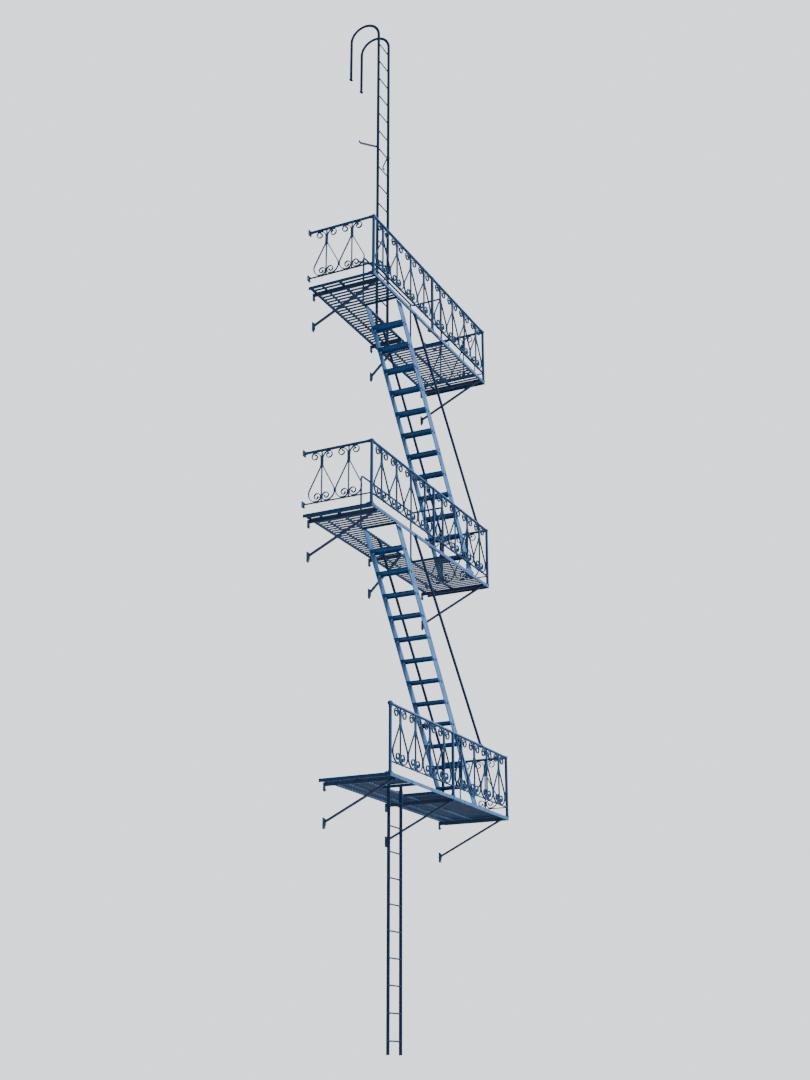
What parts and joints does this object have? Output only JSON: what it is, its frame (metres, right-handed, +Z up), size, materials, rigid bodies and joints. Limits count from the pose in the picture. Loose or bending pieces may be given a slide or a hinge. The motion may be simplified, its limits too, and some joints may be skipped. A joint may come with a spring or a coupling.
{
  "type": "fire escape stair",
  "caption": "Wall-hung iron fire escape with slatted balconies, scrollwork railings, stair flights, a roof ladder and a drop ladder.",
  "frame": {"origin": "on the wall face of the lower wall plate of the middle balcony's middle bracket, between its two anchor holes", "axes": "+X to the right along the wall as seen from the street, +Y into the wall, +Z up; the wall is the plane y = 0"},
  "size_m": [4.014, 1.245, 14.3582],
  "materials": {
    "bracket_iron": "worn dark blue-black paint over wrought iron",
    "frame_iron": "worn dark blue-black paint over wrought iron",
    "slat_iron": "worn dark blue-black paint over wrought iron",
    "rail_iron": "worn dark blue-black paint over wrought iron",
    "scroll_iron": "worn dark blue-black paint over wrought iron",
    "stringer_iron": "worn dark blue-black paint over wrought iron",
    "tread_iron": "worn dark blue-black paint over wrought iron",
    "ladder_iron": "worn dark blue-black paint over wrought iron"
  },
  "bodies": {
    "root": {"lower_rail_flanges": "bracket_iron", "lower_brackets": "bracket_iron", "lower_frame": "frame_iron", "lower_grating": "slat_iron", "lower_posts": "rail_iron", "lower_rails": "rail_iron", "lower_front_scrolls_left": "scroll_iron", "lower_front_scrolls_right": "scroll_iron", "lower_end_scrolls_right": "scroll_iron", "middle_rail_flanges": "bracket_iron", "middle_brackets": "bracket_iron", "middle_frame": "frame_iron", "middle_grating": "slat_iron", "middle_posts": "rail_iron", "middle_rails": "rail_iron", "middle_front_scrolls_left": "scroll_iron", "middle_front_scrolls_right": "scroll_iron", "middle_end_scrolls_left": "scroll_iron", "middle_end_scrolls_right": "scroll_iron", "middle_opening_guard": "rail_iron", "upper_rail_flanges": "bracket_iron", "upper_brackets": "bracket_iron", "upper_frame": "frame_iron", "upper_grating": "slat_iron", "upper_posts": "rail_iron", "upper_rails": "rail_iron", "upper_front_scrolls_left": "scroll_iron", "upper_front_scrolls_right": "scroll_iron", "upper_end_scrolls_left": "scroll_iron", "upper_end_scrolls_right": "scroll_iron", "upper_opening_guard": "rail_iron", "upper_flight_stringers": "stringer_iron", "upper_flight_treads": "tread_iron", "upper_flight_handrails": "rail_iron", "lower_flight_stringers": "stringer_iron", "lower_flight_treads": "tread_iron", "lower_flight_handrails": "rail_iron", "roof_ladder_rails": "ladder_iron", "roof_ladder_rungs": "ladder_iron", "roof_ladder_brackets": "ladder_iron", "drop_ladder_rails": "ladder_iron", "drop_ladder_rungs": "ladder_iron", "drop_ladder_hangers": "ladder_iron"}
  },
  "joints": []
}
